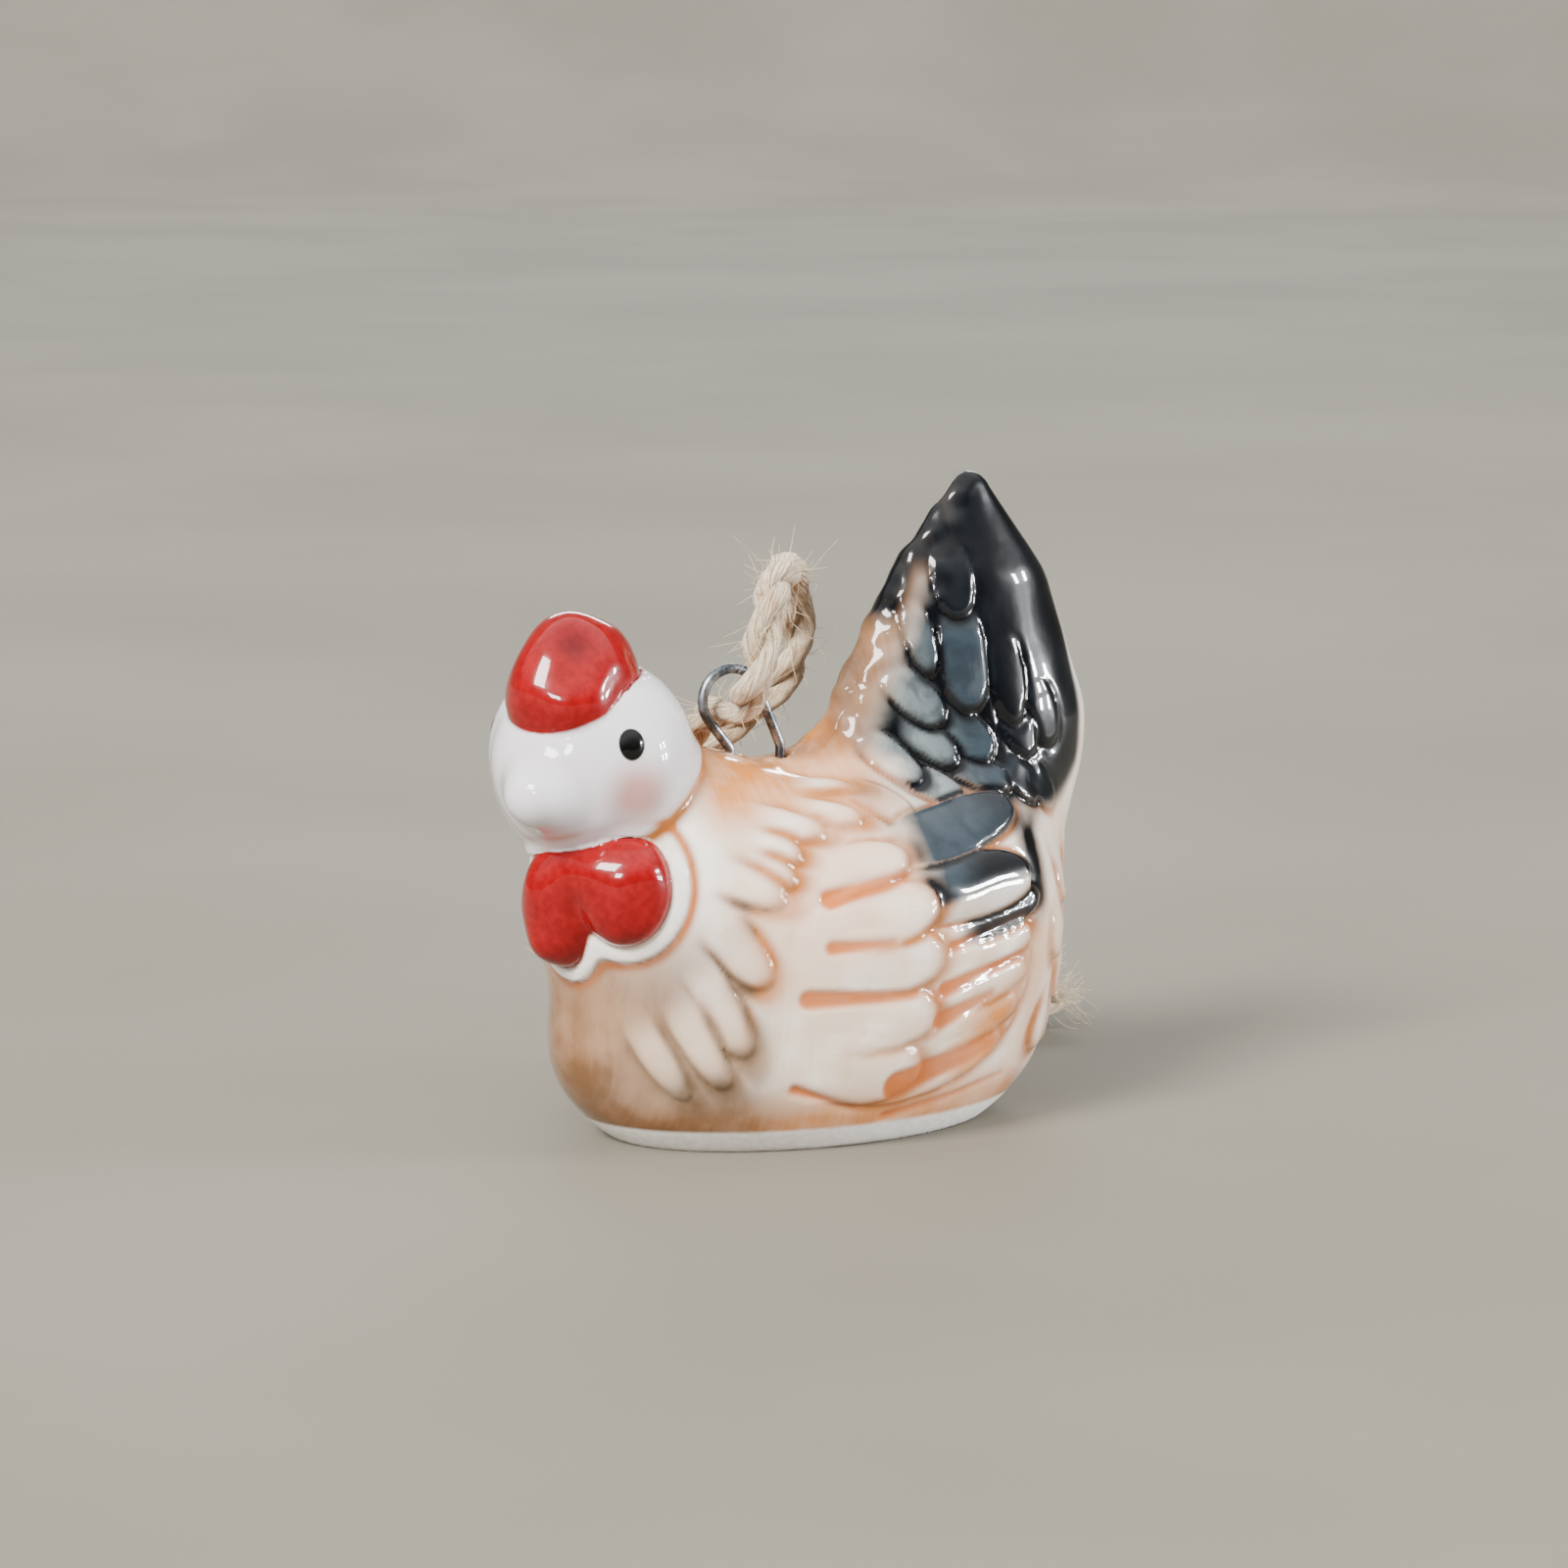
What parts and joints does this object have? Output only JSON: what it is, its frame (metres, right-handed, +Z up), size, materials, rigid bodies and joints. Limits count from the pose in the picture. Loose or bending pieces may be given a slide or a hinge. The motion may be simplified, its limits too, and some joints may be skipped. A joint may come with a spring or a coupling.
{
  "type": "ceramic hen bell",
  "caption": "Small glazed ceramic hen, hollow and open below, with a wire eye and a jute hanging loop on its back and a bead clapper on linked wire inside",
  "frame": {"origin": "middle of the hen's length and width, on the table it stands on, without the twine", "axes": "+Z up, -Y the way the hen's body faces, +X the hen's left side; the head turns towards +X"},
  "size_m": [0.0401, 0.0643, 0.0505],
  "materials": {
    "glazed_earthenware": "clear gloss glaze over brushed underglaze colours: cream and orange body, red comb and wattles, blue-grey and black tail, bare white foot ring",
    "hanger_steel": "dull galvanised steel wire, slightly oxidised",
    "bright_wire": "bright drawn steel wire",
    "bead_wood": "plain turned wood, waxed",
    "jute": "loosely twisted natural jute twine with loose fibres"
  },
  "bodies": {
    "shell": {"hen_shell": "glazed_earthenware", "twine": "jute", "twine_knot": "jute"},
    "hanger": {"hanger_wire": "hanger_steel"},
    "ring": {"clapper_ring": "bright_wire"},
    "pin": {"clapper_pin": "bright_wire"},
    "bead": {"clapper_bead": "bead_wood"}
  },
  "joints": [
    {"name": "hanger_tilt", "type": "hinge", "parent": "shell", "child": "hanger", "pos_m": [0, -0.0029, 0.028], "axis": [0, 1, 0], "range_deg": [-6, 6]},
    {"name": "ring_swing", "type": "hinge", "parent": "hanger", "child": "ring", "pos_m": [0, -0.0029, 0.0246], "axis": [0, 1, 0], "range_deg": [-10, 10]},
    {"name": "pin_swing", "type": "hinge", "parent": "ring", "child": "pin", "pos_m": [0, -0.0029, 0.0217], "axis": [1, 0, 0], "range_deg": [-19, 25]},
    {"name": "bead_spin", "type": "hinge", "parent": "pin", "child": "bead", "pos_m": [0, -0.0029, 0.007], "axis": [0, 0, 1], "continuous": true}
  ]
}
